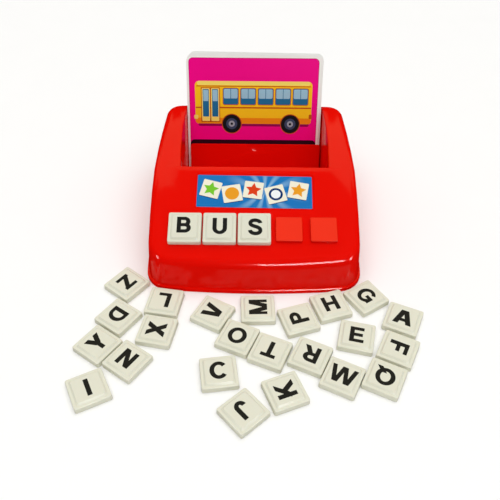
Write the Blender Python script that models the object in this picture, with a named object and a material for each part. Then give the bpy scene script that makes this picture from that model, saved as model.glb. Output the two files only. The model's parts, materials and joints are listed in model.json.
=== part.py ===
"""Letter matching spelling game: a sloped console with five raised letter seats and a card well, a
word flap, a stack of picture cards, and the twenty-six letter tiles of one alphabet, three of them
seated on the console and the rest lying in front of it.

Metres, +Z up. The origin is on the ground, in the middle of the front edge that the console stands
on. The player sits at -Y.
"""

from math import atan, cos, pi, radians, sin, tan

import bmesh
import bpy
from mathutils import Matrix, Vector

# Console shell and the lip that it stands on
wall = 0.0025
lip_height = 0.0045
lip_width = 0.0020
lip_round = 0.0008

# Console in plan, measured over the lip
console_length = 0.2296
console_half_width = 0.1146
front_y = -(lip_width + wall) / 2
rear_y = front_y + console_length
widest_y = 0.1025
side_bow_radius = 1.080
front_bow_radius = 0.950
front_corner_radius = 0.026
rear_corner_radius = 0.024

# Draft of the console's walls and the rounding along its top
side_draft = radians(3.5)
front_draft = radians(15.3)
rear_draft = radians(2)
edge_round = 0.0060

# Console roof: a steep deck in front of the crease, a nearly level top with the rails behind it
crease_y = 0.1138
crease_height = 0.0729
deck_tilt = radians(20.7)
rail_tilt = radians(6.0)

# Card well. Its width is taken at its front and rear, and its sides bow out between them
well_width = 0.1590
well_side_bow = 0.0024
well_floor_height = 0.0080
well_rear_margin = 0.0075
well_corner_radius = 0.0012
well_edge_round = 0.0018
well_front_draft = radians(1)
card_lean = radians(20.5)

# Row of letter seats on the deck
seat_count = 5
seat_tile_gap = 0.0015
seat_side = 0.0270
seat_height = 0.0042
seat_corner_radius = 0.0012
seat_round = 0.0005
row_y = 0.0434

# Label and the shallow recess that it lies in
label_width = 0.1215
label_height = 0.0388
label_thickness = 0.0003
label_radius = 0.0010
label_turn = radians(-0.7)
label_above_row = 0.0457
recess_margin = 0.0020
recess_depth = 0.0007
recess_radius = 0.0020

# Word flap
flap_side_gap = 0.0018
flap_length = 0.0357
flap_thickness = 0.0020
flap_round = 0.0005
flap_corner_radius = 0.0030
flap_slip = 0.0012
flap_barrel_radius = 0.0021
flap_pin_radius = 0.0014
flap_pin_reach = 0.0018
hinge_height = 0.0045
dimple_width = 0.0200
dimple_height = 0.0110
dimple_depth = 0.0012

# Cards
card_side_play = 0.0019
card_height = 0.1410
card_thickness = 0.0008
card_corner_radius = 0.0075
card_gap = 0.0003
# Slips to the right as shares of the play in the well: the picture card's, then each spare card's,
# rearmost first, with its turn in degrees
picture_card_slip_share = -0.85
spare_card_places_share = (
    (0.10, -0.6),
    (-0.65, 0.0),
    (0.20, -0.5),
    (-0.30, 0.4),
    (0.25, 0.0),
)

# Letter tile: a block, a ledge and a raised face, with a pocket below that drops over a seat
tile_side = 0.0340
tile_corner_radius = 0.0016
tile_draft = 0.0002
rim_height = 0.0058
rim_round = 0.0005
ledge_width = 0.0026
face_slope_width = 0.0012
face_rise = 0.0017
face_round = 0.0005
pocket_depth = 0.0047
pocket_corner_radius = 0.0014
pocket_clearance = 0.0005
tile_least_gap = 0.0005
seated_letters = "BUS"

# Loose tiles: place of the middle, to the right of the console's middle and behind its front edge,
# both as shares of the tile's side, and the letter's turn in degrees
loose_tile_places_share = {
    "Z": (-3.84, 0.24, 52),
    "G": (3.34, -0.21, -57),
    "L": (-2.64, -0.46, 171),
    "H": (2.26, -0.55, 18),
    "M": (0.12, -0.70, 92),
    "V": (-1.19, -0.87, 62),
    "D": (-3.90, -1.03, -125),
    "A": (4.30, -1.04, -24),
    "P": (1.29, -1.07, 108),
    "X": (-2.74, -1.53, 79),
    "E": (2.89, -1.68, -13),
    "O": (-0.46, -1.74, -24),
    "Y": (-4.32, -2.03, 55),
    "F": (3.99, -2.10, -116),
    "T": (0.45, -2.20, 157),
    "R": (1.55, -2.35, 155),
    "N": (-3.42, -2.55, -35),
    "C": (-0.93, -2.92, 8),
    "W": (2.36, -3.01, -26),
    "Q": (3.48, -3.04, 154),
    "I": (-4.31, -3.46, 27),
    "K": (0.82, -3.49, 112),
    "J": (-0.26, -4.08, -138),
}

# Stiffening ribs that hang from the roof inside the shell
rib_thickness = 0.0014
rib_depth = 0.0060
# Ribs beside the well and under the deck, as shares of the console's length and of its half width
side_ribs_share = (0.60, 0.84)
front_ribs_share = (-0.42, 0.42)

# The gap between pieces that lie against each other
fit_gap = 0.0003

# How far a cutter runs past what it cuts, and past a rounded edge that it has to meet
overrun = 0.0010
edge_overrun = 0.0003

# How many flats a curve gets, and how often a place on the drafted walls is worked out anew
outline_passes = 8
corner_steps = 6
side_steps = 3
bow_steps = 4
round_steps = 4
small_corner_steps = 2
card_corner_steps = 5
pin_sides = 16
dimple_sides = 24
dimple_rings = 12

# Sizes that follow from their neighbours
seat_pitch = tile_side + seat_tile_gap
card_width = well_width - 2 * card_side_play
flap_width = well_width - 2 * flap_side_gap

red = (0.72, 0.006, 0.004, 1)
cream = (0.80, 0.79, 0.68, 1)
blue = (0.02, 0.20, 0.62, 1)
magenta = (0.80, 0.01, 0.25, 1)
white = (0.85, 0.85, 0.84, 1)


# General helpers


def clear_scene():
    for found in list(bpy.data.objects):
        bpy.data.objects.remove(found, do_unlink=True)


def material(name, colour, roughness, metallic=0.0):
    made = bpy.data.materials.new(name)
    made.use_nodes = True
    surface = made.node_tree.nodes["Principled BSDF"]
    surface.inputs["Base Color"].default_value = colour
    surface.inputs["Roughness"].default_value = roughness
    surface.inputs["Metallic"].default_value = metallic
    made.diffuse_color = colour
    return made


def add_object(name, mesh, finish=None, matrix=None):
    made = bpy.data.objects.new(name, mesh)
    bpy.context.scene.collection.objects.link(made)
    if finish:
        mesh.materials.append(finish)
    if matrix:
        made.matrix_world = matrix
    return made


def as_cutter(helper):
    helper.hide_render = True
    helper.display_type = "WIRE"
    return helper


def add_boolean(target, operation, operand):
    step = target.modifiers.new(operand.name, "BOOLEAN")
    step.operation = operation
    step.solver = "EXACT"
    step.object = operand


def loft(shape, rings, caps=None):
    """Adds the closed skin through rings of equally many points. The last ring's cap may be split
    into the index lists in caps."""
    loops = [[shape.verts.new(point) for point in ring] for ring in rings]
    count = len(loops[0])
    for lower, upper in zip(loops, loops[1:]):
        for i in range(count):
            j = (i + 1) % count
            shape.faces.new((lower[i], lower[j], upper[j], upper[i]))
    shape.faces.new(loops[0][::-1])
    for indices in caps or [range(count)]:
        shape.faces.new([loops[-1][i % count] for i in indices])


def finish_mesh(shape, name, smooth_angle=radians(30)):
    bmesh.ops.recalc_face_normals(shape, faces=shape.faces)
    mesh = bpy.data.meshes.new(name)
    shape.to_mesh(mesh)
    shape.free()
    mesh.shade_smooth()
    mesh.set_sharp_from_angle(angle=smooth_angle)
    return mesh


def rounded_rectangle(left, right, near, far, radius, steps):
    """The outline's points in the XY plane, counter-clockwise from the near side."""
    corners = (
        (right - radius, near + radius, -pi / 2),
        (right - radius, far - radius, 0),
        (left + radius, far - radius, pi / 2),
        (left + radius, near + radius, pi),
    )
    points = []
    for x, y, start in corners:
        for step in range(steps + 1):
            angle = start + step * pi / (2 * steps)
            points.append((x + radius * cos(angle), y + radius * sin(angle)))
    return points


def block_ring(half_x, half_y, radius, z):
    outline = rounded_rectangle(-half_x, half_x, -half_y, half_y, radius, small_corner_steps)
    return [Vector((x, y, z)) for x, y in outline]


def bar_ring(x, radius):
    """A circle about the X axis."""
    angles = [2 * pi * i / pin_sides for i in range(pin_sides)]
    return [Vector((x, radius * cos(a), radius * sin(a))) for a in angles]


def moved(rings, matrix):
    return [[matrix @ point for point in ring] for ring in rings]


# Console outline


def half_width_at(y, inset):
    return console_half_width - inset - (y - widest_y) ** 2 / (2 * side_bow_radius)


def front_at(x, inset):
    return front_y + inset + x**2 / (2 * front_bow_radius)


def front_corner_centre(radius, side, front):
    y = front_y
    for _ in range(outline_passes):
        x = half_width_at(y, side) - radius
        y = front_at(x, front) + radius
    return x, y


def console_outline(insets, middle_y):
    """The outline, moved in by the side, front and rear insets, from the front's middle
    counter-clockwise. Each side has a point at middle_y, and its index is also returned."""
    side, front, rear = insets
    front_radius = front_corner_radius - side
    rear_radius = rear_corner_radius - side
    front_x, corner_y = front_corner_centre(front_radius, side, front)
    rear_corner_y = rear_y - rear - rear_radius
    rear_x = half_width_at(rear_corner_y, side) - rear_radius
    half = []
    for step in range(bow_steps):
        x = front_x * step / bow_steps
        half.append((x, front_at(x, front)))
    start = -pi / 2 + atan(front_x / front_bow_radius)
    for step in range(corner_steps + 1):
        angle = start * (1 - step / corner_steps)
        half.append((front_x + front_radius * cos(angle), corner_y + front_radius * sin(angle)))
    for low, high in ((corner_y, middle_y), (middle_y, rear_corner_y)):
        for step in range(1, side_steps + 1):
            y = low + (high - low) * step / side_steps
            half.append((half_width_at(y, side), y))
        if high == middle_y:
            middle = len(half) - 1
    for step in range(1, corner_steps + 1):
        angle = pi / 2 * step / corner_steps
        half.append((rear_x + rear_radius * cos(angle), rear_corner_y + rear_radius * sin(angle)))
    mirrored = [(-x, y) for x, y in half[:0:-1]]
    return half + mirrored, middle


def wall_insets(z, extra):
    rise = max(z - lip_height, 0)
    drafts = (side_draft, front_draft, rear_draft)
    return [lip_width + rise * tan(draft) + extra for draft in drafts]


# Console roof


def crease_at(thickness):
    """Where the deck and the rails meet when both are lowered by the shell's thickness."""
    drop = thickness / cos(deck_tilt) - thickness / cos(rail_tilt)
    return crease_y + drop / (tan(deck_tilt) - tan(rail_tilt))


def roof_height(y, thickness=0):
    tilt = deck_tilt if y < crease_at(thickness) else rail_tilt
    return crease_height + (y - crease_y) * tan(tilt) - thickness / cos(tilt)


def roof_ring(drop, extra, thickness):
    """The console's outline where its walls, moved in by extra, are this far below the roof."""
    middle_y = crease_at(thickness)
    start, _ = console_outline(wall_insets(crease_height, thickness + extra), middle_y)
    ring = []
    for index, (x, y) in enumerate(start):
        for _ in range(outline_passes):
            z = roof_height(y, thickness) - drop
            outline, _ = console_outline(wall_insets(z, thickness + extra), middle_y)
            x, y = outline[index]
        ring.append(Vector((x, y, roof_height(y, thickness) - drop)))
    return ring


def rounded_rings(low, edge, high, steps):
    """Rings that round an edge, from the low ring to the high one, drawn towards the sharp edge."""
    rings = []
    for step in range(steps + 1):
        share = step / steps
        near, both, far = (1 - share) ** 2, 2 * share * (1 - share), share**2
        rings.append([near * a + both * b + far * c for a, b, c in zip(low, edge, high)])
    return rings


def flat_ring(insets, z):
    outline, _ = console_outline(insets, crease_y)
    return [Vector((x, y, z)) for x, y in outline]


def lip_rings():
    return [
        flat_ring((0, 0, 0), 0),
        flat_ring((0, 0, 0), lip_height - lip_round),
        flat_ring([lip_round] * 3, lip_height),
        flat_ring([lip_width] * 3, lip_height),
    ]


def console_solid(name, thickness):
    """The console's outer body, or the space inside its shell when a thickness is given."""
    rounding = edge_round - thickness
    low = roof_ring(rounding, 0, thickness)
    edge = roof_ring(0, 0, thickness)
    high = roof_ring(0, rounding, thickness)
    steps = small_corner_steps if thickness else round_steps
    if thickness:
        bottom = [flat_ring([lip_width + thickness] * 3, z) for z in (-overrun, lip_height)]
    else:
        bottom = lip_rings()
    _, middle = console_outline(wall_insets(crease_height, thickness), crease_at(thickness))
    count = len(high)
    deck = range(-middle, middle + 1)
    rails = range(middle, count - middle + 1)
    shape = bmesh.new()
    loft(shape, bottom + rounded_rings(low, edge, high, steps), (deck, rails))
    return add_object(name, finish_mesh(shape, name))


# Card well


def well_rear_at(z):
    top_y = rear_y - well_rear_margin
    return top_y - (roof_height(top_y) - z) * tan(card_lean)


def well_front_at(z):
    return crease_y + well_edge_round + (crease_height - z) * tan(well_front_draft)


def well_half_at(y, z):
    """Half of the well's width at this place, with the bow of its sides."""
    low = well_front_at(z) + well_corner_radius
    high = well_rear_at(z) - well_corner_radius
    share = (y - low) / (high - low)
    return well_width / 2 + 4 * well_side_bow * share * (1 - share)


def well_outline(z, extra):
    half = well_width / 2 + extra
    near, far = well_front_at(z), well_rear_at(z)
    radius = well_corner_radius + extra
    corners = rounded_rectangle(
        -half, half, near - extra, far + extra, radius, small_corner_steps
    )
    side = []
    low, high = near + well_corner_radius, far - well_corner_radius
    for step in range(1, 2 * side_steps):
        y = low + (high - low) * step / (2 * side_steps)
        side.append((well_half_at(y, z) + extra, y))
    corner_points = small_corner_steps + 1
    right_rear = corner_points
    left_front = 3 * corner_points
    mirrored = [(-x, y) for x, y in side[::-1]]
    right_half = corners[:right_rear] + side
    return right_half + corners[right_rear:left_front] + mirrored + corners[left_front:]


def well_ring(z, extra=0):
    return [Vector((x, y, z)) for x, y in well_outline(z, extra)]


def well_edge_ring(drop, extra):
    """The well's outline this far below the top between the rails."""
    ring = []
    for index, point in enumerate(well_ring(crease_height, extra)):
        for _ in range(outline_passes):
            z = crease_height + (point.y - crease_y) * tan(rail_tilt) - drop
            point = well_ring(z, extra)[index]
        ring.append(point)
    return ring


def well_cutter():
    """The well with its rounded mouth. The last rounding ring stands a little above the top, so
    that the cut crosses it cleanly."""
    low = well_edge_ring(well_edge_round, 0)
    edge = well_edge_ring(0, 0)
    high = well_edge_ring(-edge_overrun, well_edge_round)
    rounding = rounded_rings(low, edge, high, round_steps - 1)
    above = [point + Vector((0, 0, console_half_width)) for point in high]
    shape = bmesh.new()
    loft(shape, [well_ring(well_floor_height)] + rounding + [above])
    return as_cutter(add_object("well_cutter", finish_mesh(shape, "well_cutter")))


def well_sleeve():
    """The well with its walls, which is kept out of the hollow inside."""
    top = crease_height + console_half_width
    shape = bmesh.new()
    loft(shape, [well_ring(well_floor_height - wall, wall), well_ring(top, wall)])
    return as_cutter(add_object("well_sleeve", finish_mesh(shape, "well_sleeve")))


# Frames of the tilted pieces


def deck_frame(above_row=0):
    """X to the right, Y up the slope and Z off the deck, this far up the deck from the seats."""
    y = row_y + above_row * cos(deck_tilt)
    return Matrix.Translation((0, y, roof_height(y))) @ Matrix.Rotation(deck_tilt, 4, "X")


def card_frame():
    """X to the right, Y up the leaning rear wall and Z off it, from the wall's foot."""
    foot = (0, well_rear_at(well_floor_height), well_floor_height)
    return Matrix.Translation(foot) @ Matrix.Rotation(pi / 2 - card_lean, 4, "X")


def seat_x(index):
    return (index - (seat_count - 1) / 2) * seat_pitch


# Console shell


def seats(name):
    """The raised squares, sunk into the deck by half the wall so that they join it."""
    half = seat_side / 2
    shape = bmesh.new()
    for index in range(seat_count):
        rings = (
            block_ring(half, half, seat_corner_radius, -wall / 2),
            block_ring(half, half, seat_corner_radius, seat_height - seat_round),
            block_ring(half - seat_round, half - seat_round, seat_corner_radius, seat_height),
        )
        loft(shape, moved(rings, deck_frame() @ Matrix.Translation((seat_x(index), 0, 0))))
    return as_cutter(add_object(name, finish_mesh(shape, name)))


def add_seat_cores(shape):
    half = seat_side / 2 - wall
    for index in range(seat_count):
        rings = [
            block_ring(half, half, seat_corner_radius, z)
            for z in (-wall - overrun, seat_height - wall)
        ]
        loft(shape, moved(rings, deck_frame() @ Matrix.Translation((seat_x(index), 0, 0))))


def add_label_recess(shape):
    half_x = label_width / 2 + recess_margin
    half_y = label_height / 2 + recess_margin
    rings = (
        block_ring(half_x - recess_depth, half_y - recess_depth, recess_radius, -recess_depth),
        block_ring(half_x + overrun, half_y + overrun, recess_radius + overrun, overrun),
    )
    loft(shape, moved(rings, deck_frame(label_above_row)))


def add_hinge_holes(shape):
    """Holes through the well's side walls for the flap's pins."""
    axis = hinge_frame()
    for side in (-1, 1):
        start = hinge_wall_at() - overrun
        ends = (side * start, side * (start + wall + 2 * overrun))
        rings = [bar_ring(x, flap_pin_radius + fit_gap) for x in ends]
        loft(shape, moved(rings, axis))


def ribs():
    """Upright ribs that are kept out of the top of the hollow."""
    shape = bmesh.new()
    for share in side_ribs_share:
        place = (0, front_y + share * console_length)
        add_rib(shape, (console_half_width, rib_thickness / 2), place)
    for share in front_ribs_share:
        place = (share * console_half_width, crease_y / 2)
        add_rib(shape, (rib_thickness / 2, crease_y / 2), place)
    return as_cutter(add_object("ribs", finish_mesh(shape, "ribs")))


def add_rib(shape, half_sizes, place):
    half_x, half_y = half_sizes
    corners = ((-half_x, -half_y), (half_x, -half_y), (half_x, half_y), (-half_x, half_y))
    rings = []
    for rise in (-rib_depth, console_half_width):
        ring = []
        for corner_x, corner_y in corners:
            x, y = place[0] + corner_x, place[1] + corner_y
            ring.append(Vector((x, y, roof_height(y, wall) + rise)))
        rings.append(ring)
    loft(shape, rings)


def hollow_inside():
    hollow = as_cutter(console_solid("hollow_inside", wall))
    add_boolean(hollow, "DIFFERENCE", well_sleeve())
    add_boolean(hollow, "DIFFERENCE", ribs())
    return hollow


def small_cuts():
    shape = bmesh.new()
    add_seat_cores(shape)
    add_label_recess(shape)
    add_hinge_holes(shape)
    return as_cutter(add_object("small_cuts", finish_mesh(shape, "small_cuts")))


def make_console_shell():
    shell = console_solid("console_shell", 0)
    shell.data.materials.append(material("red_plastic", red, 0.18))
    add_boolean(shell, "UNION", seats("letter_seats"))
    add_boolean(shell, "DIFFERENCE", well_cutter())
    add_boolean(shell, "DIFFERENCE", hollow_inside())
    add_boolean(shell, "DIFFERENCE", small_cuts())


def make_label():
    bottom = fit_gap - recess_depth
    rings = [
        block_ring(label_width / 2, label_height / 2, label_radius, z)
        for z in (bottom, bottom + label_thickness)
    ]
    shape = bmesh.new()
    loft(shape, rings)
    place = deck_frame(label_above_row) @ Matrix.Rotation(label_turn, 4, "Z")
    add_object("label", finish_mesh(shape, "label"), material("label_print", blue, 0.3), place)


# Cards


def card_offset(index):
    """How far card number index, counted from the rear wall, stands off that wall."""
    return card_gap + card_thickness / 2 + index * (card_thickness + card_gap)


def card_mesh(name):
    half = card_width / 2
    outline = rounded_rectangle(-half, half, 0, card_height, card_corner_radius, card_corner_steps)
    shape = bmesh.new()
    faces = (-card_thickness / 2, card_thickness / 2)
    loft(shape, [[Vector((x, y, z)) for x, y in outline] for z in faces])
    return finish_mesh(shape, name)


def card_foot(index):
    """How far up the wall a straight card's foot is when its rear edge stands on the floor."""
    rear_face = card_offset(index) - card_thickness / 2
    return (fit_gap - rear_face * sin(card_lean)) / cos(card_lean)


def make_spare_cards():
    finish = material("card_edge", white, 0.5)
    for index, (slip_share, turn) in enumerate(spare_card_places_share):
        angle = radians(turn)
        lift = card_width / 2 * abs(sin(angle))
        place = Vector((slip_share * card_side_play, card_foot(index) + lift, card_offset(index)))
        about_middle = Matrix.Translation((0, card_height / 2, 0))
        turned = about_middle @ Matrix.Rotation(angle, 4, "Z") @ about_middle.inverted()
        matrix = card_frame() @ Matrix.Translation(place) @ turned
        name = "spare_card_" + str(index + 1)
        add_object(name, card_mesh(name), finish, matrix)


def make_picture_card():
    index = len(spare_card_places_share)
    slip = picture_card_slip_share * card_side_play
    place = Matrix.Translation((slip, card_foot(index), card_offset(index)))
    finish = material("card_print", magenta, 0.35)
    add_object("picture_card", card_mesh("picture_card"), finish, card_frame() @ place)


# Word flap


def hinge_frame():
    """The flap's hinge axis along X, with Y up the flap and Z out of its face."""
    stack = card_offset(len(spare_card_places_share)) + card_thickness / 2
    off_wall = stack + card_gap + flap_barrel_radius
    up_wall = (hinge_height - off_wall * sin(card_lean)) / cos(card_lean)
    return card_frame() @ Matrix.Translation((0, up_wall, off_wall))


def hinge_wall_at():
    """How far from the middle the well's side walls stand at the hinge."""
    axis = hinge_frame().translation
    return well_half_at(axis.y, axis.z)


def flap_back():
    """How far behind the hinge axis the back of the flap's plate lies."""
    return flap_round - flap_barrel_radius


def flap_plate_rings():
    half = flap_width / 2
    radius = flap_corner_radius
    back = flap_back()
    front = back + flap_thickness
    rings = []
    for z, inset in (
        (back, flap_round),
        (back + flap_round, 0),
        (front - flap_round, 0),
        (front, flap_round),
    ):
        outline = rounded_rectangle(
            flap_slip - half + inset, flap_slip + half - inset,
            0, flap_length - inset, radius - inset, card_corner_steps,
        )
        rings.append([Vector((x, y, z)) for x, y in outline])
    return rings


def flap_barrel():
    """The thickened foot of the flap and the pins at its ends, as one turned bar."""
    half = flap_width / 2
    reach = hinge_wall_at() + flap_pin_reach
    steps = (
        (-reach, flap_pin_radius),
        (flap_slip - half, flap_pin_radius),
        (flap_slip - half, flap_barrel_radius),
        (flap_slip + half, flap_barrel_radius),
        (flap_slip + half, flap_pin_radius),
        (reach, flap_pin_radius),
    )
    shape = bmesh.new()
    loft(shape, [bar_ring(x, radius) for x, radius in steps])
    mesh = finish_mesh(shape, "flap_barrel")
    return as_cutter(add_object("flap_barrel", mesh, None, hinge_frame()))


def finger_dimple():
    """A shallow scoop in the middle of the flap's upper edge."""
    shape = bmesh.new()
    bmesh.ops.create_uvsphere(
        shape, u_segments=dimple_sides, v_segments=dimple_rings, radius=1
    )
    ball = finish_mesh(shape, "finger_dimple")
    height = flap_back() + flap_thickness + dimple_depth
    centre = Matrix.Translation((flap_slip, flap_length, height))
    size = Matrix.Diagonal((dimple_width / 2, dimple_height, 2 * dimple_depth, 1))
    return as_cutter(add_object("finger_dimple", ball, None, hinge_frame() @ centre @ size))


def make_word_flap():
    shape = bmesh.new()
    loft(shape, flap_plate_rings())
    finish = material("red_flap", red, 0.2)
    flap = add_object("word_flap", finish_mesh(shape, "word_flap"), finish, hinge_frame())
    add_boolean(flap, "UNION", flap_barrel())
    add_boolean(flap, "DIFFERENCE", finger_dimple())


# Letter tiles


def tile_mesh():
    """One skin from the pocket's ceiling, down its wall, under the rim, up the block's side, over
    the ledge and up to the raised face."""
    half = tile_side / 2
    pocket = seat_side / 2 + pocket_clearance
    ledge = half - tile_draft - ledge_width
    face = ledge - face_slope_width
    top = rim_height + face_rise
    rim_radius = tile_corner_radius
    steps = (
        (pocket, pocket_corner_radius, pocket_depth),
        (pocket, pocket_corner_radius, 0),
        (half, rim_radius, 0),
        (half - tile_draft, rim_radius, rim_height - rim_round),
        (half - tile_draft - rim_round, rim_radius - rim_round, rim_height),
        (ledge, rim_radius, rim_height),
        (face, rim_radius, top - face_round),
        (face - face_round, rim_radius, top),
    )
    shape = bmesh.new()
    loft(shape, [block_ring(size, size, radius, z) for size, radius, z in steps])
    return finish_mesh(shape, "letter_tile")


def tile_corners(x, y, angle):
    half = tile_side / 2
    corners = ((-half, -half), (half, -half), (half, half), (-half, half))
    turn = Matrix.Rotation(angle, 2)
    return [turn @ Vector(corner) + Vector((x, y)) for corner in corners]


def clear_distance(first, second):
    """The widest gap between two convex outlines along any of their sides' normals."""
    widest = -console_length
    for outline in (first, second):
        for a, b in zip(outline, outline[1:] + outline[:1]):
            along = b - a
            normal = Vector((along.y, -along.x)).normalized()
            one = [point @ normal for point in first]
            other = [point @ normal for point in second]
            widest = max(widest, min(other) - max(one), min(one) - max(other))
    return widest


def loose_tile_places():
    """Each loose tile's letter, place and turn. A tile that would touch the console or a tile
    placed before it is drawn towards the player until it lies clear."""
    outline, _ = console_outline((0, 0, 0), crease_y)
    taken = [[Vector(point) for point in outline]]
    for letter, (right_share, rear_share, turn) in loose_tile_places_share.items():
        x = right_share * tile_side
        y = front_y + rear_share * tile_side
        lack = tile_least_gap
        while lack > 0:
            corners = tile_corners(x, y, radians(turn))
            lack = max(tile_least_gap - clear_distance(corners, other) for other in taken)
            y -= max(lack, 0)
        taken.append(corners)
        yield letter, x, y, radians(turn)


def make_tiles():
    mesh = tile_mesh()
    mesh.materials.append(material("cream_plastic", cream, 0.3))
    for index, letter in enumerate(seated_letters):
        lift = Matrix.Translation((seat_x(index), 0, fit_gap))
        add_object("tile_" + letter.lower(), mesh, None, deck_frame() @ lift)
    for letter, x, y, angle in loose_tile_places():
        place = Matrix.Translation((x, y, 0)) @ Matrix.Rotation(angle, 4, "Z")
        add_object("tile_" + letter.lower(), mesh, None, place)


def main():
    clear_scene()
    make_console_shell()
    make_label()
    make_spare_cards()
    make_picture_card()
    make_word_flap()
    make_tiles()


main()
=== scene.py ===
"""Looks of the letter matching game: its plastics, printed cards, label and letters, and the stage
that it is shown on. Laid out as an add-on and run as a script."""

import json
from math import cos, pi, radians, sin

import bmesh
import bpy
from mathutils import Matrix, Vector
from mathutils.geometry import delaunay_2d_cdt


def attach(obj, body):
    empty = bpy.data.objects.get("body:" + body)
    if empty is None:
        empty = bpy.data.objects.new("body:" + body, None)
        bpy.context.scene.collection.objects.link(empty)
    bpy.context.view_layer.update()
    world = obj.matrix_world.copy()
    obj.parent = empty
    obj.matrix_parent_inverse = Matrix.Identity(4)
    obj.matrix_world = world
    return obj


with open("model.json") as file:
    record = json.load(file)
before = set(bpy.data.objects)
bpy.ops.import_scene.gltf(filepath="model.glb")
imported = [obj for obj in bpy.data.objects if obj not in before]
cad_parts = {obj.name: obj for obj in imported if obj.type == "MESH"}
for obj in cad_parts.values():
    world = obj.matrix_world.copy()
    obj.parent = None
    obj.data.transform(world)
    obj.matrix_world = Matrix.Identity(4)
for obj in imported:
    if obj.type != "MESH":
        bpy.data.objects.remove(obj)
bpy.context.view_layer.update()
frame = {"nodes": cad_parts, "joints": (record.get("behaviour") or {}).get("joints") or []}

bl_info = {
    "name": "Letter Game Looks",
    "version": (1, 0, 0),
    "blender": (4, 5, 0),
    "location": "View3D > Sidebar > Letter Game",
    "description": "Dresses a letter matching game with plastics, prints, letters and a studio",
    "category": "3D View",
}

# Lengths are in metres, and colours are linear

# Letters that sit on the console, and each loose tile's turn in degrees
SEATED_LETTERS = "BUS"
LOOSE_TURNS = {
    "Z": 52, "G": -57, "L": 171, "H": 18, "M": 92, "V": 62, "D": -125, "A": -24,
    "P": 108, "X": 79, "E": -13, "O": -24, "Y": 55, "F": -116, "T": 157, "R": 155,
    "N": -35, "C": 8, "W": -26, "Q": 154, "I": 27, "K": 112, "J": -138,
}
SPARE_CARDS = 5

# How far to the right and up a letter is printed off the middle of its tile
LETTER_SHIFTS = {
    "B": (-0.0006, 0.0018), "U": (0.0003, 0.0009), "S": (0.0008, 0.0002),
    "C": (-0.0008, 0.0006), "D": (0.0006, -0.0004), "H": (-0.0003, 0.0005),
    "Q": (0.0004, 0.0006), "X": (-0.0005, 0.0),
}

# Seats' tops: their least height over the label's face, their colour and their roughness
SEAT_TOP_RISE = 0.0034
SEAT_RED = (0.88, 0.024, 0.003, 1)
SEAT_ROUGHNESS = 0.30

# Card's picture: corner radius, width and shade of its darker rim, and the top of the word band
# as a share of the card's height
PICTURE_CORNER = 0.0050
RIM = 0.0006
RIM_SHADE = 0.62
BAND_SHARE = 0.292

# Bus on the card: its scale as a share of the card's width and its rise as a share of the card's
# height. The other numbers are shares of that scale, from the middle of the bus.
BUS_SCALE = 1.06
BUS_RISE = 0.122
WINDOWS = 5
FIRST_WINDOW = -0.215
WINDOW_PITCH = 0.124
DOOR_LEAVES = (-0.368, -0.302)
WHEELS = (-0.155, 0.265)
AXLE = -0.150

# Label: turn of its print and its corner radius
LABEL_TURN = radians(-0.7)
LABEL_CORNER = 0.0010

# Squares on the label: half a side as a share of half the label's height, then, as shares of half
# a side, the corner radius, how far the shade lies below, and the radius of a star
SQUARE_SHARE = 0.52
SQUARE_CORNER = 0.1
SHADE_DROP = 0.08
STAR_SHARE = 0.86
STAR_POINTS = 5
STAR_WAIST = 0.5

# Burst on the label: how far its middle lies to the right and how far it reaches, as shares of
# half the label's width, and the number and colour of its rays
BURST_SHIFT = 0.18
BURST_REACH = 0.75
BURST_RAYS = 11
BURST_PALE = (0.45, 0.72, 0.86, 1)

# Letter strokes as shares of an upright one: a level one's height, a leaning one's level width, and
# half the width of the S
LEVEL_SHARE = 0.86
LEAN_SHARE = 1.22
SPINE_SHARE = 0.47

# Gap, as a share of a letter's height, below which two points of its outlines become one
POINT_GAP = 0.0001

# Steps in a quarter turn of a corner, round a disc, along a letter's bow and along a bend of the S
CORNER_STEPS = 6
DISC_STEPS = 40
BOW_STEPS = 28
BEND_STEPS = 40

# Joining and smoothing of facets
WELD_GAP = 0.00001
SHARP_ANGLE = radians(28)

# Fine bumps of a printed face, and the depth of light in the ivory plastic
INK_GRAIN = 0.000004
IVORY_DEPTHS = (0.004, 0.003, 0.002)

# First value, second value and result of a Mix node, for colours and for numbers
COLOUR_MIX = (6, 7, 2)
NUMBER_MIX = (2, 3, 0)

# Stage: how far the floor lies under the pieces, strength and tint of the sky, and the power,
# spread and tilt of the light from above
FLOOR_DROP = 0.0002
SKY_STRENGTH = 0.48
SKY_TINT = (1, 0.99, 0.95, 1)
TOP_POWER = 1.75
TOP_SPREAD = radians(80)
TOP_TILT = (radians(-2), radians(4), 0)
WHITE = (1, 1, 1)
WARM = (1, 0.80, 0.42)

# Camera, as seen from the player's side
CAMERA_EYE = Vector((-0.0050, -0.42355, 0.4782))
CAMERA_AIM = Vector((-0.0042, 0.06155, 0))
CAMERA_ROLL = radians(0.58)
CAMERA_LENS = 44.64
CAMERA_SENSOR = 36
CAMERA_NEAR = 0.01
CAMERA_FAR = 50

# Directions that faces and views are turned by
RIGHT = Vector((1, 0, 0))
UP = Vector((0, 0, 1))


# Helpers for places


def joint_axis(body):
    """The direction in which a body lifts."""
    found = [joint for joint in frame["joints"] if joint["child"] == body]
    if not found:
        raise RuntimeError("no joint moves " + body)
    return Vector(found[0]["axis"]).normalized()


def deck_normal():
    """The direction out of the sloping deck, in which its tiles lift."""
    return joint_axis("tile_" + SEATED_LETTERS[0].lower())


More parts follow.
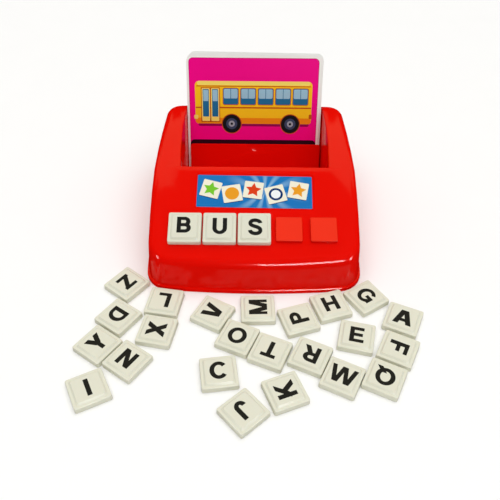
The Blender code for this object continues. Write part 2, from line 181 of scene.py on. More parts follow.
def front_face(node, right, normal):
    """A matrix on the front face of a CAD node, with its origin in the middle of the face, X to the
    right and Z out of it, and the width and height of the face."""
    normal = normal.normalized()
    right = (right - right.project(normal)).normalized()
    up = normal.cross(right)
    points = [vertex.co for vertex in frame["nodes"][node].data.vertices]
    across = [point @ right for point in points]
    along = [point @ up for point in points]
    out = max(point @ normal for point in points)
    middle = right * (min(across) + max(across)) / 2 + up * (min(along) + max(along)) / 2
    turn = Matrix((right, up, normal)).transposed().to_4x4()
    size = (max(across) - min(across), max(along) - min(along))
    return Matrix.Translation(middle + normal * out) @ turn, size


def turned(direction, normal, angle):
    return Matrix.Rotation(angle, 3, normal) @ direction


# Helpers for outlines


def rounded_box(left, right, low, high, radius):
    """Points of a rounded rectangle, counter-clockwise."""
    radius = min(radius, (right - left) / 2, (high - low) / 2)
    corners = (
        (right - radius, low + radius, -pi / 2),
        (right - radius, high - radius, 0),
        (left + radius, high - radius, pi / 2),
        (left + radius, low + radius, pi),
    )
    made = []
    for x, y, start in corners:
        for step in range(CORNER_STEPS + 1):
            angle = start + step * pi / 2 / CORNER_STEPS
            made.append((x + radius * cos(angle), y + radius * sin(angle)))
    return made


def disc(x, y, radius):
    turns = [2 * pi * step / DISC_STEPS for step in range(DISC_STEPS)]
    return [(x + radius * cos(a), y + radius * sin(a)) for a in turns]


def star(x, y, radius, turn):
    made = []
    for step in range(2 * STAR_POINTS):
        reach = radius * (STAR_WAIST if step % 2 else 1)
        angle = pi / 2 + turn + pi * step / STAR_POINTS
        made.append((x + reach * cos(angle), y + reach * sin(angle)))
    return made


def spun(points, x, y, angle):
    """The points turned about (x, y)."""
    c, s = cos(angle), sin(angle)
    return [(x + (a - x) * c - (b - y) * s, y + (a - x) * s + (b - y) * c) for a, b in points]


# Helpers for meshes


def link(name, data, matrix=None):
    """An object of this mesh, light or camera, in the scene."""
    made = bpy.data.objects.new(name, data)
    bpy.context.scene.collection.objects.link(made)
    if matrix:
        made.matrix_world = matrix
    return made


def finished_mesh(name, shape):
    """The mesh of a shape that is still being edited."""
    mesh = bpy.data.meshes.new(name)
    shape.to_mesh(mesh)
    shape.free()
    return mesh


def print_layers(name, layers, matrix):
    """One mesh of inked shapes. Each layer is an outline, its level and its material. A higher
    level lies one ink step further out."""
    step = prints().ink_step
    shape = bmesh.new()
    finishes = []
    for outline, level, finish in layers:
        if finish not in finishes:
            finishes.append(finish)
        tops = [shape.verts.new((x, y, level * step)) for x, y in outline]
        feet = [shape.verts.new((x, y, -step / 2)) for x, y in outline]
        faces = [shape.faces.new(tops), shape.faces.new(feet[::-1])]
        count = len(outline)
        for i in range(count):
            j = (i + 1) % count
            faces.append(shape.faces.new((feet[i], feet[j], tops[j], tops[i])))
        for face in faces:
            face.material_index = finishes.index(finish)
    mesh = finished_mesh(name, shape)
    for finish in finishes:
        mesh.materials.append(finish)
    return link(name, mesh, matrix)


def smoothing_group():
    """Joins a CAD node's facets and shades them smooth, with its real edges left sharp."""
    name = "join_and_smooth"
    found = bpy.data.node_groups.get(name)
    if found:
        return found
    group = bpy.data.node_groups.new(name, "GeometryNodeTree")
    group.interface.new_socket("Geometry", in_out="INPUT", socket_type="NodeSocketGeometry")
    group.interface.new_socket("Geometry", in_out="OUTPUT", socket_type="NodeSocketGeometry")
    nodes, links = group.nodes, group.links
    start = nodes.new("NodeGroupInput")
    end = nodes.new("NodeGroupOutput")
    merge = nodes.new("GeometryNodeMergeByDistance")
    merge.inputs["Distance"].default_value = WELD_GAP
    faces = nodes.new("GeometryNodeSetShadeSmooth")
    faces.domain = "FACE"
    edges = nodes.new("GeometryNodeSetShadeSmooth")
    edges.domain = "EDGE"
    angle = nodes.new("GeometryNodeInputMeshEdgeAngle")
    compare = nodes.new("FunctionNodeCompare")
    compare.operation = "LESS_EQUAL"
    compare.inputs["B"].default_value = SHARP_ANGLE
    links.new(start.outputs[0], merge.inputs["Geometry"])
    links.new(merge.outputs["Geometry"], faces.inputs["Geometry"])
    links.new(faces.outputs["Geometry"], edges.inputs["Geometry"])
    links.new(angle.outputs["Unsigned Angle"], compare.inputs["A"])
    links.new(compare.outputs["Result"], edges.inputs["Shade Smooth"])
    links.new(edges.outputs["Geometry"], end.inputs[0])
    return group


def dress(node, finish):
    """Gives a CAD node its material and joins its facets."""
    shown = frame["nodes"][node]
    shown.data.materials.clear()
    shown.data.materials.append(finish)
    own_normals = shown.data.attributes.get("custom_normal")
    if own_normals:
        shown.data.attributes.remove(own_normals)
    step = shown.modifiers.new("smooth", "NODES")
    step.node_group = smoothing_group()


# Helpers for materials


def surface(name, colour, roughness, grain, grain_size, spread=0.06, tone=0.04, subsurface=0.0,
            specular=0.5):
    """A material with a slightly uneven colour and gloss and a fine grain. grain is the height of
    its bumps and grain_size their spacing. spread and tone say how uneven it is."""
    made = bpy.data.materials.get(name)
    if made:
        return made
    made = bpy.data.materials.new(name)
    made.use_nodes = True
    nodes, links = made.node_tree.nodes, made.node_tree.links
    plastic = nodes["Principled BSDF"]
    plastic.inputs["Specular IOR Level"].default_value = specular
    place = nodes.new("ShaderNodeTexCoord")
    broad = nodes.new("ShaderNodeTexNoise")
    broad.inputs["Scale"].default_value = 18
    broad.inputs["Detail"].default_value = 4
    links.new(place.outputs["Object"], broad.inputs["Vector"])
    tones = nodes.new("ShaderNodeMix")
    tones.data_type = "RGBA"
    low, high, result = COLOUR_MIX
    tones.inputs[low].default_value = (*[c * (1 - tone) for c in colour[:3]], 1)
    tones.inputs[high].default_value = (*[min(c * (1 + tone), 1) for c in colour[:3]], 1)
    links.new(broad.outputs["Fac"], tones.inputs[0])
    links.new(tones.outputs[result], plastic.inputs["Base Color"])
    gloss = nodes.new("ShaderNodeMapRange")
    gloss.inputs["To Min"].default_value = max(roughness - spread, 0.02)
    gloss.inputs["To Max"].default_value = roughness + spread
    links.new(broad.outputs["Fac"], gloss.inputs["Value"])
    links.new(gloss.outputs["Result"], plastic.inputs["Roughness"])
    if subsurface:
        plastic.inputs["Subsurface Weight"].default_value = subsurface
        plastic.inputs["Subsurface Radius"].default_value = IVORY_DEPTHS
        plastic.inputs["Subsurface Scale"].default_value = 0.5
    fine = nodes.new("ShaderNodeTexNoise")
    fine.inputs["Scale"].default_value = 1 / grain_size
    fine.inputs["Detail"].default_value = 3
    links.new(place.outputs["Object"], fine.inputs["Vector"])
    bump = nodes.new("ShaderNodeBump")
    bump.inputs["Strength"].default_value = 1
    bump.inputs["Distance"].default_value = grain
    links.new(fine.outputs["Fac"], bump.inputs["Height"])
    links.new(bump.outputs["Normal"], plastic.inputs["Normal"])
    return made


def colour_of(value):
    return (*value[:3], 1)


# Sizes and colours that a user would change


class LetterGamePlastics(bpy.types.PropertyGroup):
    red: bpy.props.FloatVectorProperty(
        name="Console red", description="Colour of the console and the flap",
        default=(0.79, 0.0030, 0.0003), min=0, max=1, subtype="COLOR")
    ivory: bpy.props.FloatVectorProperty(
        name="Tile ivory", description="Colour of the letter tiles",
        default=(0.735, 0.73, 0.605), min=0, max=1, subtype="COLOR")
    gloss: bpy.props.FloatProperty(
        name="Console roughness", description="How dull the console is",
        default=0.10, min=0.02, max=1)


class LetterGameLetters(bpy.types.PropertyGroup):
    height: bpy.props.FloatProperty(
        name="Letter height", description="Height of the capital on a tile",
        default=0.0180, min=0.005, max=0.024, unit="LENGTH")
    stroke: bpy.props.FloatProperty(
        name="Stroke", description="Width of an upright stroke as a share of the letter's height",
        default=0.240, min=0.08, max=0.3)
    ink: bpy.props.FloatVectorProperty(
        name="Ink", description="Colour of the letters",
        default=(0.009, 0.010, 0.009), min=0, max=1, subtype="COLOR")


class LetterGamePrints(bpy.types.PropertyGroup):
    border: bpy.props.FloatProperty(
        name="Card border", description="White border round the card's picture",
        default=0.0026, min=0, max=0.02, unit="LENGTH")
    ground: bpy.props.FloatVectorProperty(
        name="Card ground", description="Colour behind the card's picture",
        default=(0.92, 0.0005, 0.26), min=0, max=1, subtype="COLOR")
    body: bpy.props.FloatVectorProperty(
        name="Vehicle", description="Main colour of the picture",
        default=(1.0, 0.60, 0.012), min=0, max=1, subtype="COLOR")
    label: bpy.props.FloatVectorProperty(
        name="Label blue", description="Main colour of the label",
        default=(0.0015, 0.17, 0.50), min=0, max=1, subtype="COLOR")
    ink_step: bpy.props.FloatProperty(
        name="Ink thickness", description="Thickness of one layer of ink",
        default=0.00004, min=0.00001, max=0.0002, unit="LENGTH")


class LetterGameStage(bpy.types.PropertyGroup):
    floor: bpy.props.FloatVectorProperty(
        name="Floor", description="Colour of the floor",
        default=(0.96, 0.96, 0.96), min=0, max=1, subtype="COLOR")
    floor_size: bpy.props.FloatProperty(
        name="Floor size", description="Side of the floor",
        default=40, min=1, max=100, unit="LENGTH")
    brightness: bpy.props.FloatProperty(
        name="Brightness", description="Strength of all lights together",
        default=1.0, min=0, max=10)


def plastics():
    return bpy.context.scene.letter_game_plastics


def letters():
    return bpy.context.scene.letter_game_letters


def prints():
    return bpy.context.scene.letter_game_prints


def stage():
    return bpy.context.scene.letter_game_stage


def ink_material(name, colour, roughness=0.28):
    return surface(name, colour, roughness, grain=INK_GRAIN, grain_size=0.0006, spread=0.03,
                   tone=0.03, specular=0.03)


# Console, flap and cards


class LETTERGAME_OT_console(bpy.types.Operator):
    """Gives the console and the word flap their glossy red plastic"""

    bl_idname = "letter_game.console"
    bl_label = "Dress console"

    def execute(self, context):
        red, gloss = colour_of(plastics().red), plastics().gloss
        shell = surface("glossy_red", red, gloss, grain=0.00001, grain_size=0.006, spread=0.02,
                        specular=0.18)
        flap = surface("flap_red", red, gloss, grain=0.00001, grain_size=0.004, spread=0.02,
                       specular=0.08)
        dull_seats(shell)
        dress("console_shell", shell)
        dress("word_flap", flap)
        return {"FINISHED"}


def dull_seats(shell):
    """Gives the tops of the seats a paler and duller red than the glossy deck round them."""
    deck = deck_normal()
    place, _ = front_face("label", RIGHT, deck)
    nodes, links = shell.node_tree.nodes, shell.node_tree.links
    plastic = nodes["Principled BSDF"]
    where = nodes.new("ShaderNodeTexCoord")
    height = nodes.new("ShaderNodeVectorMath")
    height.operation = "DOT_PRODUCT"
    height.inputs[1].default_value = deck
    links.new(where.outputs["Object"], height.inputs[0])
    above = nodes.new("ShaderNodeMath")
    above.operation = "GREATER_THAN"
    above.inputs[1].default_value = place.translation @ deck + SEAT_TOP_RISE
    links.new(height.outputs["Value"], above.inputs[0])
    changes = (
        ("Base Color", SEAT_RED, "RGBA", COLOUR_MIX),
        ("Roughness", SEAT_ROUGHNESS, "FLOAT", NUMBER_MIX),
    )
    for socket, value, kind, (first, second, result) in changes:
        before = plastic.inputs[socket].links[0].from_socket
        mix = nodes.new("ShaderNodeMix")
        mix.data_type = kind
        mix.inputs[second].default_value = value
        links.new(above.outputs[0], mix.inputs[0])
        links.new(before, mix.inputs[first])
        links.new(mix.outputs[result], plastic.inputs[socket])


class LETTERGAME_OT_cards(bpy.types.Operator):
    """Gives the cards their board and prints the picture card"""

    bl_idname = "letter_game.cards"
    bl_label = "Dress cards"

    def execute(self, context):
        board = surface("card_board", (0.94, 0.94, 0.94, 1), 0.45, grain=0.00001,
                        grain_size=0.0008, specular=0.3)
        for number in range(1, SPARE_CARDS + 1):
            dress("spare_card_" + str(number), board)
        dress("picture_card", board)
        out = RIGHT.cross(joint_axis("picture_card"))
        place, size = front_face("picture_card", RIGHT, out)
        picture = print_layers("card_picture", card_ground(size) + bus(size), place)
        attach(picture, "picture_card")
        return {"FINISHED"}


def card_ground(size):
    """The coloured ground inside the white border, and the dark band for the word below it."""
    half_x, half_y = size[0] / 2 - prints().border, size[1] / 2 - prints().border
    inner_x, inner_y = half_x - RIM, half_y - RIM
    band_top = -half_y + BAND_SHARE * size[1]
    rim = ink_material("card_rim", (*[RIM_SHADE * c for c in prints().ground], 1))
    ground = ink_material("card_ground", colour_of(prints().ground))
    band = ink_material("word_band", (0.028, 0.002, 0.010, 1))
    return [
        (rounded_box(-half_x, half_x, -half_y, half_y, PICTURE_CORNER), 1, rim),
        (rounded_box(-inner_x, inner_x, -inner_y, inner_y, PICTURE_CORNER - RIM), 2, ground),
        (rounded_box(-half_x, half_x, -half_y, band_top, PICTURE_CORNER), 3, band),
    ]


def bus(size):
    """A plain bus seen from the side, facing left."""
    unit = BUS_SCALE * size[0]
    rise = BUS_RISE * size[1]

    def box(left, right, low, high, radius):
        outline = rounded_box(left * unit, right * unit, low * unit, high * unit, radius * unit)
        return [(x, y + rise) for x, y in outline]

    def wheel(x, radius):
        return [(a, b + rise) for a, b in disc(x * unit, AXLE * unit, radius * unit)]

    body = ink_material("bus_body", colour_of(prints().body))
    roof = ink_material("bus_roof", (1.0, 0.80, 0.16, 1))
    skirt = ink_material("bus_skirt", (0.90, 0.27, 0.006, 1))
    line = ink_material("bus_line", (0.55, 0.09, 0.01, 1))
    glass = ink_material("bus_glass", (0.02, 0.16, 0.34, 1), 0.2)
    sky = ink_material("bus_sky", (0.34, 0.58, 0.72, 1), 0.2)
    tyre = ink_material("bus_tyre", (0.008, 0.008, 0.012, 1), 0.35)
    rim = ink_material("bus_rim", (0.05, 0.07, 0.14, 1))
    hub = ink_material("bus_hub", (0.34, 0.40, 0.48, 1))
    shade = ink_material("bus_shade", (0.30, 0.001, 0.09, 1))
    made = [
        (box(-0.395, 0.400, -0.168, -0.140, 0.012), 3, shade),
        (box(-0.415, 0.415, -0.150, 0.150, 0.030), 3, body),
        (box(-0.400, 0.400, 0.122, 0.150, 0.014), 4, roof),
        (box(-0.405, 0.405, 0.112, 0.118, 0.002), 4, line),
        (box(-0.415, 0.415, -0.150, -0.108, 0.020), 4, skirt),
        (box(-0.412, 0.412, -0.040, -0.030, 0.002), 4, line),
        (box(-0.424, -0.396, -0.118, -0.088, 0.008), 5, roof),
        (box(0.398, 0.420, -0.112, -0.080, 0.006), 5, line),
    ]
    for number in range(WINDOWS):
        left = FIRST_WINDOW + number * WINDOW_PITCH
        made += [
            (box(left - 0.004, left + 0.110, -0.017, 0.104, 0.014), 4, line),
            (box(left, left + 0.106, -0.012, 0.100, 0.012), 5, glass),
            (box(left + 0.004, left + 0.102, 0.030, 0.096, 0.010), 6, sky),
            (box(left + 0.051, left + 0.055, -0.010, 0.098, 0.001), 7, glass),
        ]
    made.append((box(-0.374, -0.238, -0.138, 0.106, 0.006), 4, line))
    for left in DOOR_LEAVES:
        made += [
            (box(left, left + 0.058, -0.132, 0.100, 0.008), 5, roof),
            (box(left + 0.007, left + 0.051, -0.100, 0.094, 0.006), 6, glass),
            (box(left + 0.011, left + 0.047, 0.010, 0.088, 0.005), 7, sky),
        ]
    wheel_rings = ((0.072, line), (0.066, tyre), (0.040, rim), (0.022, hub), (0.009, tyre))
    for x in WHEELS:
        for level, (radius, finish) in enumerate(wheel_rings, 6):
            made.append((wheel(x, radius), level, finish))
    return made


class LETTERGAME_OT_label(bpy.types.Operator):
    """Prints the label with a blue burst and plain coloured shapes"""

    bl_idname = "letter_game.label"
    bl_label = "Print label"

    def execute(self, context):
        deck = deck_normal()
        place, size = front_face("label", turned(RIGHT, deck, LABEL_TURN), deck)
        sheet = surface("label_paper", (0.75, 0.80, 0.84, 1), 0.3, grain=INK_GRAIN,
                        grain_size=0.0008)
        dress("label", sheet)
        half_x, half_y = size[0] / 2, size[1] / 2
        layers = [(rounded_box(-half_x, half_x, -half_y, half_y, LABEL_CORNER), 1, burst(half_x))]
        layers += label_shapes(half_x, half_y)
        made = print_layers("label_picture", layers, place)
        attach(made, "console")
        return {"FINISHED"}


def label_shapes(half_x, half_y):
    """Cream squares with a star or a disc each, in one row at alternating heights and turns."""
    cream = ink_material("label_cream", (0.86, 0.82, 0.66, 1))
    red = ink_material("label_red", (0.70, 0.05, 0.01, 1))
    orange = ink_material("label_orange", (0.80, 0.33, 0.02, 1))
    green = ink_material("label_green", (0.18, 0.55, 0.03, 1))
    white = ink_material("label_white", (0.85, 0.88, 0.90, 1))
    navy = ink_material("label_navy", (0.002, 0.03, 0.14, 1))
    side = SQUARE_SHARE * half_y
    # Middle of a square in shares of the label's halves, its turn in degrees, the star's ink or
    # none, and each disc's ink with its radius as a share of half a side
    row = (
        (-0.76, 0.12, -14, green, ()),
        (-0.39, -0.14, 11, None, ((orange, 0.74),)),
        (-0.02, 0.10, -7, red, ()),
        (0.37, -0.14, 16, None, ((navy, 0.74), (white, 0.50))),
        (0.76, 0.12, -10, orange, ()),
    )
    made = []
    for x_share, y_share, degrees, star_ink, discs in row:
        x, y, turn = x_share * half_x, y_share * half_y, radians(degrees)
        corner, drop = SQUARE_CORNER * side, SHADE_DROP * side
        square = rounded_box(x - side, x + side, y - side, y + side, corner)
        shade = rounded_box(x - side, x + side, y - side - drop, y + side - drop, corner)
        made.append((spun(shade, x, y, turn), 2, navy))
        made.append((spun(square, x, y, turn), 3, cream))
        if star_ink:
            made.append((star(x, y, STAR_SHARE * side, turn), 4, star_ink))
        for level, (ink, share) in enumerate(discs, 4):
            made.append((disc(x, y, share * side), level, ink))
    return made


def burst(half_x):
    """Blue with soft paler rays from a point right of the middle."""
    made = surface("label_burst", colour_of(prints().label), 0.22, grain=INK_GRAIN,
                   grain_size=0.0008)
    nodes, links = made.node_tree.nodes, made.node_tree.links
    plastic = nodes["Principled BSDF"]
    base = plastic.inputs["Base Color"].links[0].from_socket
    place = nodes.new("ShaderNodeTexCoord")
    centre = nodes.new("ShaderNodeMapping")
    centre.inputs["Location"].default_value = (-BURST_SHIFT * half_x, 0, 0)
    links.new(place.outputs["Object"], centre.inputs["Vector"])
    rays = nodes.new("ShaderNodeTexGradient")
    rays.gradient_type = "RADIAL"
    links.new(centre.outputs["Vector"], rays.inputs["Vector"])
    turns = nodes.new("ShaderNodeMath")
    turns.operation = "MULTIPLY"
    turns.inputs[1].default_value = 2 * pi * BURST_RAYS
    links.new(rays.outputs["Fac"], turns.inputs[0])
    wave = nodes.new("ShaderNodeMath")
    wave.operation = "SINE"
    links.new(turns.outputs[0], wave.inputs[0])
    lift = nodes.new("ShaderNodeMapRange")
    lift.inputs["From Min"].default_value = -0.4
    lift.inputs["From Max"].default_value = 1.6
    links.new(wave.outputs[0], lift.inputs["Value"])
    distance = nodes.new("ShaderNodeVectorMath")
    distance.operation = "LENGTH"
    links.new(centre.outputs["Vector"], distance.inputs[0])
    fade = nodes.new("ShaderNodeMapRange")
    fade.inputs["From Min"].default_value = 0.0
    fade.inputs["From Max"].default_value = BURST_REACH * half_x
    fade.inputs["To Min"].default_value = 0.9
    fade.inputs["To Max"].default_value = 0.0
    links.new(distance.outputs["Value"], fade.inputs["Value"])
    both = nodes.new("ShaderNodeMath")
    both.operation = "MULTIPLY"
    links.new(lift.outputs["Result"], both.inputs[0])
    links.new(fade.outputs["Result"], both.inputs[1])
    first, second, result = COLOUR_MIX
    mix = nodes.new("ShaderNodeMix")
    mix.data_type = "RGBA"
    mix.inputs[second].default_value = BURST_PALE
    links.new(both.outputs[0], mix.inputs[0])
    links.new(base, mix.inputs[first])
    links.new(mix.outputs[result], plastic.inputs["Base Color"])
    return made


# Tiles and letters


class LETTERGAME_OT_tiles(bpy.types.Operator):
    """Gives the tiles their ivory plastic and prints a letter on each"""

    bl_idname = "letter_game.tiles"
    bl_label = "Dress tiles"

    def execute(self, context):
        ivory = surface("tile_ivory", colour_of(plastics().ivory), 0.34, grain=0.000012,
                        grain_size=0.0012, tone=0.025, subsurface=0.12, specular=0.22)
        ink = surface("letter_ink", colour_of(letters().ink), 0.45, grain=0.000005,
                      grain_size=0.0006, tone=0.10, specular=0.15)
        for letter in SEATED_LETTERS:
            print_letter(letter, ivory, ink, 0)
        for letter, turn in LOOSE_TURNS.items():
            print_letter(letter, ivory, ink, radians(turn))
        return {"FINISHED"}


def print_letter(letter, ivory, ink, angle):
    """Dresses a letter's tile and prints the letter on it, turned by the angle."""
    body = "tile_" + letter.lower()
    dress(body, ivory)
    normal = joint_axis(body)
    place, _ = front_face(body, turned(RIGHT, normal, angle), normal)
    place = place @ Matrix.Translation((*LETTER_SHIFTS.get(letter, (0, 0)), 0))
    made = link("letter_" + letter.lower(), letter_mesh(letter), place)
    made.data.materials.append(ink)
    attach(made, body)


def letter_mesh(letter):
    """A bold plain capital as a thin solid, centred on its own middle."""
    points, loops = [], []
    for outline in letter_shapes(letter, letters().stroke):
        loops.append(list(range(len(points), len(points) + len(outline))))
        points += [Vector(point) for point in outline]
    corners, _, faces, _, _, owners = delaunay_2d_cdt(points, [], loops, 0, POINT_GAP)
    kept = [face for face, inside in zip(faces, owners) if inside]
    across = [corners[i].x for face in kept for i in face]
    middle = Vector(((min(across) + max(across)) / 2, 0.5))
    placed = [(corner - middle) * letters().height for corner in corners]
    return thin_solid("letter_" + letter, placed, kept)


def thin_solid(name, points, faces):
    """A flat set of faces as a solid that stands out by one ink step and is sunk by half of one."""
    step = prints().ink_step
    shape = bmesh.new()
    tops = [shape.verts.new((p.x, p.y, step)) for p in points]
    for face in faces:
        shape.faces.new([tops[i] for i in face])
    for vertex in [v for v in shape.verts if not v.link_faces]:
        shape.verts.remove(vertex)
    bmesh.ops.recalc_face_normals(shape, faces=shape.faces)
    if sum(face.normal.z for face in shape.faces) < 0:
        bmesh.ops.reverse_faces(shape, faces=shape.faces)
    made = bmesh.ops.extrude_face_region(shape, geom=list(shape.faces), use_keep_orig=True)
    for item in made["geom"]:
        if isinstance(item, bmesh.types.BMVert):
            item.co.z = -step / 2
    bmesh.ops.recalc_face_normals(shape, faces=shape.faces)
    return finished_mesh(name, shape)


# Letter drawing, with the capital's height as one


def bar(left, right, low, high):
    return [(left, low), (right, low), (right, high), (left, high)]


def slant(low_x, low_y, high_x, high_y, width):
    """A leaning stroke with level ends. width is measured level."""
    half = width / 2
    return [
        (low_x - half, low_y), (low_x + half, low_y),
        (high_x + half, high_y), (high_x - half, high_y),
    ]


def bow(x, y, half_width, half_height, start, end, stroke):
    """A band of an ellipse from start to end, in degrees counter-clockwise."""
    inner_width, inner_height = half_width - stroke, half_height - LEVEL_SHARE * stroke
    outer, inner = [], []
    for step in range(BOW_STEPS + 1):
        angle = radians(start + (end - start) * step / BOW_STEPS)
        outer.append((x + half_width * cos(angle), y + half_height * sin(angle)))
        inner.append((x + inner_width * cos(angle), y + inner_height * sin(angle)))
    return outer + inner[::-1]


def ring(stroke):
    """The band of an O as two halves, so that its middle stays open."""
    return [bow(0.5, 0.5, 0.5, 0.52, start, start + 180, stroke) for start in (0, 180)]


def spine(stroke):
    """The S as one swept band through three bends."""
    bends = (
        ((0.690, 0.730), (0.660, 0.960), (0.130, 0.990), (0.130, 0.725)),
        ((0.130, 0.725), (0.130, 0.480), (0.690, 0.560), (0.690, 0.280)),
        ((0.690, 0.280), (0.690, 0.000), (0.140, 0.010), (0.110, 0.290)),
    )
    line = []
    for bend in bends:
        for step in range(BEND_STEPS):
            t = step / BEND_STEPS
            weights = ((1 - t) ** 3, 3 * t * (1 - t) ** 2, 3 * t * t * (1 - t), t**3)
            point = [sum(w * p[axis] for w, p in zip(weights, bend)) for axis in (0, 1)]
            line.append(Vector(point))
    line.append(Vector(bends[-1][-1]))
    left, right = [], []
    for index, point in enumerate(line):
        ahead = line[min(index + 1, len(line) - 1)] - line[max(index - 1, 0)]
        side = Vector((-ahead.y, ahead.x)).normalized() * stroke * SPINE_SHARE
        left.append(tuple(point + side))
        right.append(tuple(point - side))
    return [right + left[::-1]]


def letter_shapes(letter, s):
    """The overlapping outlines that make up a capital. s is the width of an upright stroke, t the
    height of a level one and d the level width of a leaning one."""
    t = LEVEL_SHARE * s
    d = LEAN_SHARE * s
    stem = bar(0, s, 0, 1)
    bowl = [
        bar(s / 2, 0.44, 1 - t, 1),
        bar(s / 2, 0.44, 0.39, 0.39 + t),
        bow(0.43, 0.695, 0.35, 0.305, -90, 90, s),
    ]
    low, high, half = 0.5 - t / 2, 0.5 + t / 2, (0.5 + t / 2) / 2
    shapes = {
        "A": [
            slant(0.13, 0, 0.435, 1, d), slant(0.85, 0, 0.545, 1, d),
            bar(0.24, 0.74, 0.20, 0.20 + t),
        ],
        "B": [
            stem, bar(s / 2, 0.46, 1 - t, 1), bar(s / 2, 0.46, 0, t),
            bar(s / 2, 0.46, low, high),
            bow(0.45, 0.5 + low / 2, 0.31, half, -90, 90, s),
            bow(0.46, 0.5 - low / 2, 0.34, half, -90, 90, s),
        ],
        "C": [bow(0.47, 0.5, 0.47, 0.52, 38, 322, s)],
        "D": [
            stem, bar(s / 2, 0.38, 1 - t, 1), bar(s / 2, 0.38, 0, t),
            bow(0.37, 0.5, 0.49, 0.5, -90, 90, s),
        ],
        "E": [stem, bar(0, 0.74, 1 - t, 1), bar(0, 0.69, low, high), bar(0, 0.76, 0, t)],
        "F": [stem, bar(0, 0.71, 1 - t, 1), bar(0, 0.63, 0.47 - t / 2, 0.47 + t / 2)],
        "G": [
            bow(0.49, 0.5, 0.49, 0.52, 38, 335, s), bar(0.52, 0.96, 0.37, 0.37 + t),
            bar(0.96 - t, 0.96, 0.12, 0.40),
        ],
        "H": [stem, bar(0.84 - s, 0.84, 0, 1), bar(0, 0.84, low, high)],
        "I": [stem],
        "J": [bar(0.64 - s, 0.64, 0.31, 1), bow(0.32, 0.31, 0.32, 0.33, 180, 360, s)],
        "K": [stem, slant(0.12, 0.34, 0.70, 1, 1.34 * s), slant(0.76, 0, 0.36, 0.62, 1.28 * s)],
        "L": [stem, bar(0, 0.70, 0, t)],
        "M": [
            bar(0, 0.8 * s, 0, 1), bar(1.04 - 0.8 * s, 1.04, 0, 1),
            slant(0.46, 0, 0.14, 1, d), slant(0.58, 0, 0.90, 1, d),
        ],
        "N": [stem, bar(0.84 - s, 0.84, 0, 1), slant(0.70, 0, 0.14, 1, 1.2 * s)],
        "O": ring(s),
        "P": [stem, *bowl],
        "Q": [*ring(s), slant(0.92, -0.06, 0.62, 0.30, 1.2 * s)],
        "R": [stem, *bowl, slant(0.74, 0, 0.47, 0.46, 1.2 * s)],
        "S": spine(s),
        "T": [bar(0, 0.80, 1 - t, 1), bar(0.40 - s / 2, 0.40 + s / 2, 0, 1)],
        "U": [
            bar(0, s, 0.36, 1), bar(0.82 - s, 0.82, 0.36, 1),
            bow(0.41, 0.36, 0.41, 0.38, 180, 360, s),
        ],
        "V": [slant(0.41, 0, 0.13, 1, d), slant(0.51, 0, 0.79, 1, d)],
        "W": [
            slant(0.36, 0, 0.12, 1, 0.95 * s), slant(0.42, 0, 0.66, 1, 0.95 * s),
            slant(0.96, 0, 0.72, 1, 0.95 * s), slant(1.02, 0, 1.26, 1, 0.95 * s),
        ],
        "X": [slant(0.14, 0, 0.76, 1, 1.3 * s), slant(0.76, 0, 0.14, 1, 1.3 * s)],
        "Y": [
            slant(0.45, 0.38, 0.14, 1, 1.26 * s), slant(0.45, 0.38, 0.76, 1, 1.26 * s),
            bar(0.45 - s / 2, 0.45 + s / 2, 0, 0.46),
        ],
        "Z": [
            bar(0, 0.80, 1 - t, 1), bar(0, 0.80, 0, t),
            slant(0.15, t / 2, 0.65, 1 - t / 2, 1.3 * s),
        ],
    }
    return shapes[letter]


# Stage


class LETTERGAME_OT_stage(bpy.types.Operator):
    """Makes the pale floor, the soft lights and the camera"""

    bl_idname = "letter_game.stage"
    bl_label = "Build stage"

    def execute(self, context):
        make_floor()
        make_world()
        make_lights()
        make_camera()
        context.scene.view_settings.view_transform = "Standard"
        return {"FINISHED"}


def make_floor():
    half = stage().floor_size / 2
    shape = bmesh.new()
    corners = [(-half, -half, 0), (half, -half, 0), (half, half, 0), (-half, half, 0)]
    shape.faces.new([shape.verts.new(corner) for corner in corners])
    mesh = finished_mesh("floor", shape)
    finish = surface("floor_paper", colour_of(stage().floor), 0.75, grain=0.00002,
                     grain_size=0.004, tone=0.008, specular=0.2)
    mesh.materials.append(finish)
    floor = link("floor", mesh, Matrix.Translation((0, 0, -FLOOR_DROP)))
    floor.visible_glossy = False


def make_world():
    world = bpy.data.worlds.new("studio")
    world.use_nodes = True
    sky = world.node_tree.nodes["Background"]
    sky.inputs["Color"].default_value = SKY_TINT
    sky.inputs["Strength"].default_value = SKY_STRENGTH * stage().brightness
    world.cycles_visibility.glossy = False
    bpy.context.scene.world = world


def make_lights():
    """The soft boxes and the light from above. A box of the kind light only lights the pieces, and
    one of the kind mirror only shows in their gloss."""
    aim = Vector((0, 0, 0.02))
    boxes = (
        ("fill_box", (0, -1.60, 1.00), (1.2, 0.8), 1.5, WHITE, "light"),
        ("rear_box", (0, 1.25, 1.75), (3.6, 1.1), 14, WARM, "mirror"),
        ("front_box", (0.42, -1.30, 1.00), (0.80, 0.36), 32, WHITE, "mirror"),
        ("left_box", (-1.30, -0.85, 0.55), (0.25, 0.6), 10, WHITE, "mirror"),
        ("right_box", (1.30, -0.85, 0.55), (0.25, 0.6), 15, WHITE, "mirror"),
    )
    for name, where, size, power, tint, kind in boxes:
        lamp = bpy.data.lights.new(name, "AREA")
        lamp.shape = "RECTANGLE"
        lamp.size, lamp.size_y = size
        lamp.energy = power * stage().brightness
        lamp.color = tint
        made = link(name, lamp)
        made.location = where
        made.rotation_mode = "QUATERNION"
        made.rotation_quaternion = (aim - Vector(where)).to_track_quat("-Z", "Y")
        made.visible_glossy = kind == "mirror"
        made.visible_diffuse = kind == "light"
    top = bpy.data.lights.new("top_light", "SUN")
    top.energy = TOP_POWER * stage().brightness
    top.angle = TOP_SPREAD
    made = link("top_light", top)
    made.rotation_euler = TOP_TILT
    made.visible_glossy = False


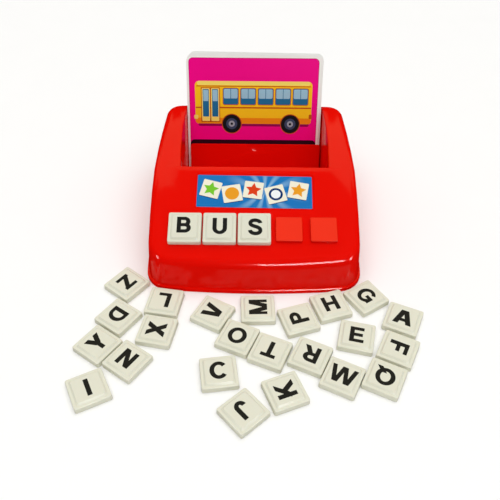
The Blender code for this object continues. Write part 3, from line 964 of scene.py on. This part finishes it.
def make_camera():
    lens = bpy.data.cameras.new("camera")
    lens.lens = CAMERA_LENS
    lens.sensor_width = CAMERA_SENSOR
    lens.sensor_fit = "HORIZONTAL"
    lens.clip_start = CAMERA_NEAR
    lens.clip_end = CAMERA_FAR
    forward = (CAMERA_AIM - CAMERA_EYE).normalized()
    level = forward.cross(UP).normalized()
    upright = level.cross(forward)
    right = level * cos(CAMERA_ROLL) + upright * sin(CAMERA_ROLL)
    top = upright * cos(CAMERA_ROLL) - level * sin(CAMERA_ROLL)
    turn = Matrix((right, top, -forward)).transposed().to_4x4()
    camera = link("camera", lens, Matrix.Translation(CAMERA_EYE) @ turn)
    bpy.context.scene.camera = camera


# Panel and registration


class LETTERGAME_PT_panel(bpy.types.Panel):
    """Lists the game's sizes and colours, and the operators that use them"""

    bl_idname = "LETTERGAME_PT_panel"
    bl_label = "Letter Game"
    bl_space_type = "VIEW_3D"
    bl_region_type = "UI"
    bl_category = "Letter Game"

    def draw(self, context):
        for group, operators in PANEL_ROWS:
            box = self.layout.box()
            settings = getattr(context.scene, group)
            for name in settings.__annotations__:
                box.prop(settings, name)
            for operator in operators:
                box.operator(operator.bl_idname)


GROUPS = {
    "letter_game_plastics": LetterGamePlastics,
    "letter_game_letters": LetterGameLetters,
    "letter_game_prints": LetterGamePrints,
    "letter_game_stage": LetterGameStage,
}
OPERATORS = (
    LETTERGAME_OT_console,
    LETTERGAME_OT_cards,
    LETTERGAME_OT_label,
    LETTERGAME_OT_tiles,
    LETTERGAME_OT_stage,
)
PANEL_ROWS = (
    ("letter_game_plastics", (LETTERGAME_OT_console,)),
    ("letter_game_letters", (LETTERGAME_OT_tiles,)),
    ("letter_game_prints", (LETTERGAME_OT_cards, LETTERGAME_OT_label)),
    ("letter_game_stage", (LETTERGAME_OT_stage,)),
)
CLASSES = (*GROUPS.values(), *OPERATORS, LETTERGAME_PT_panel)


def register():
    for found in CLASSES:
        bpy.utils.register_class(found)
    for name, group in GROUPS.items():
        setattr(bpy.types.Scene, name, bpy.props.PointerProperty(type=group))


def unregister():
    for name in GROUPS:
        delattr(bpy.types.Scene, name)
    for found in reversed(CLASSES):
        bpy.utils.unregister_class(found)


def main():
    register()
    bpy.ops.letter_game.console()
    bpy.ops.letter_game.cards()
    bpy.ops.letter_game.label()
    bpy.ops.letter_game.tiles()
    bpy.ops.letter_game.stage()


if __name__ == "__main__":
    main()
